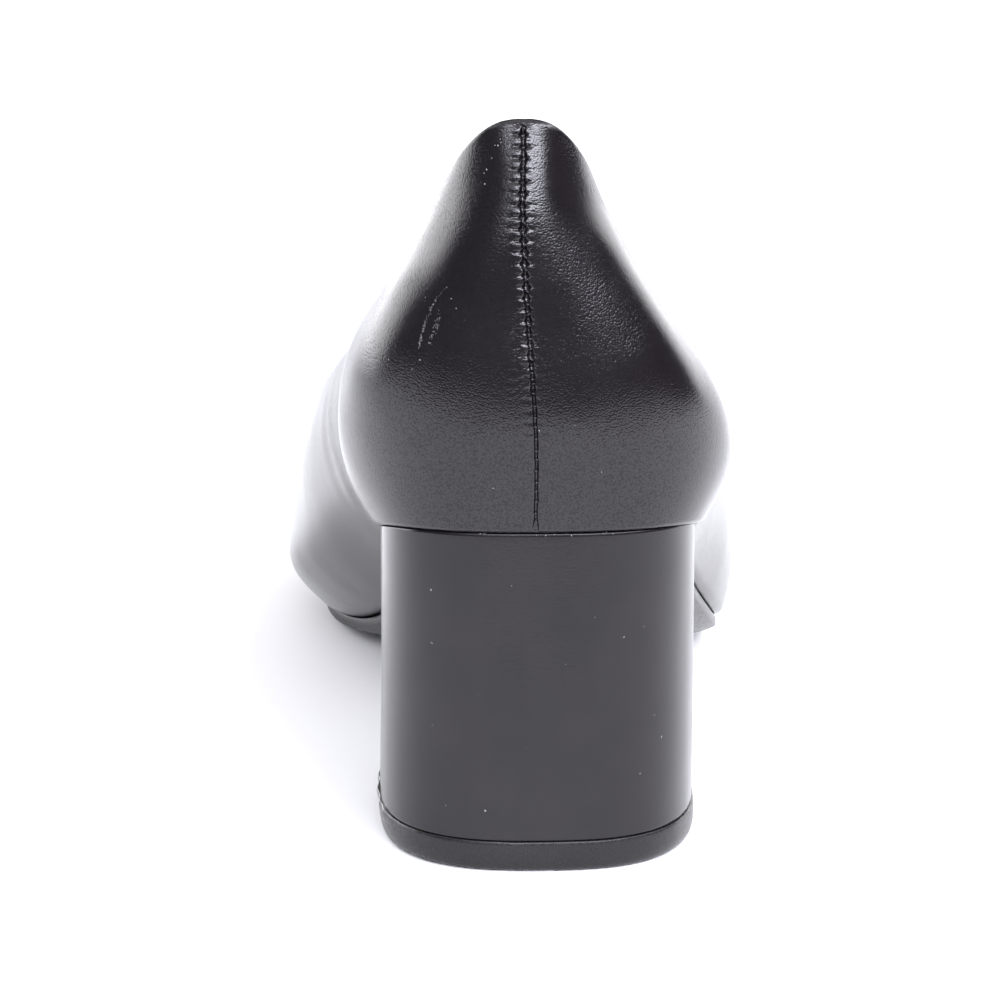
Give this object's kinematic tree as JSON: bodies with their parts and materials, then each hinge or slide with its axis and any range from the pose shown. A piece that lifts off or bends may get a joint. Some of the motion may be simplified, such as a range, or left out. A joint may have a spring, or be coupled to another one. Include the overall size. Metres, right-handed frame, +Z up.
{
  "type": "block-heel pump shoe",
  "caption": "Plain court shoe for the right foot: hollow leather upper with a back seam and open topline, insole, thin outsole, straight block heel and top piece.",
  "frame": {"origin": "on the floor, under the middle of the shoe's box", "axes": "+Y towards the toe, +X towards the outer (lateral) side, +Z up"},
  "size_m": [0.0824, 0.2432, 0.1213],
  "materials": {
    "upper_leather": "satin, fine grain",
    "insole_leather": "matt",
    "outsole_rubber": "matt",
    "heel_plastic": "satin lacquer",
    "top_piece_rubber": "matt"
  },
  "bodies": {
    "root": {"upper": "upper_leather", "insole": "insole_leather", "outsole": "outsole_rubber", "heel_block": "heel_plastic", "heel_top_piece": "top_piece_rubber"}
  },
  "joints": []
}
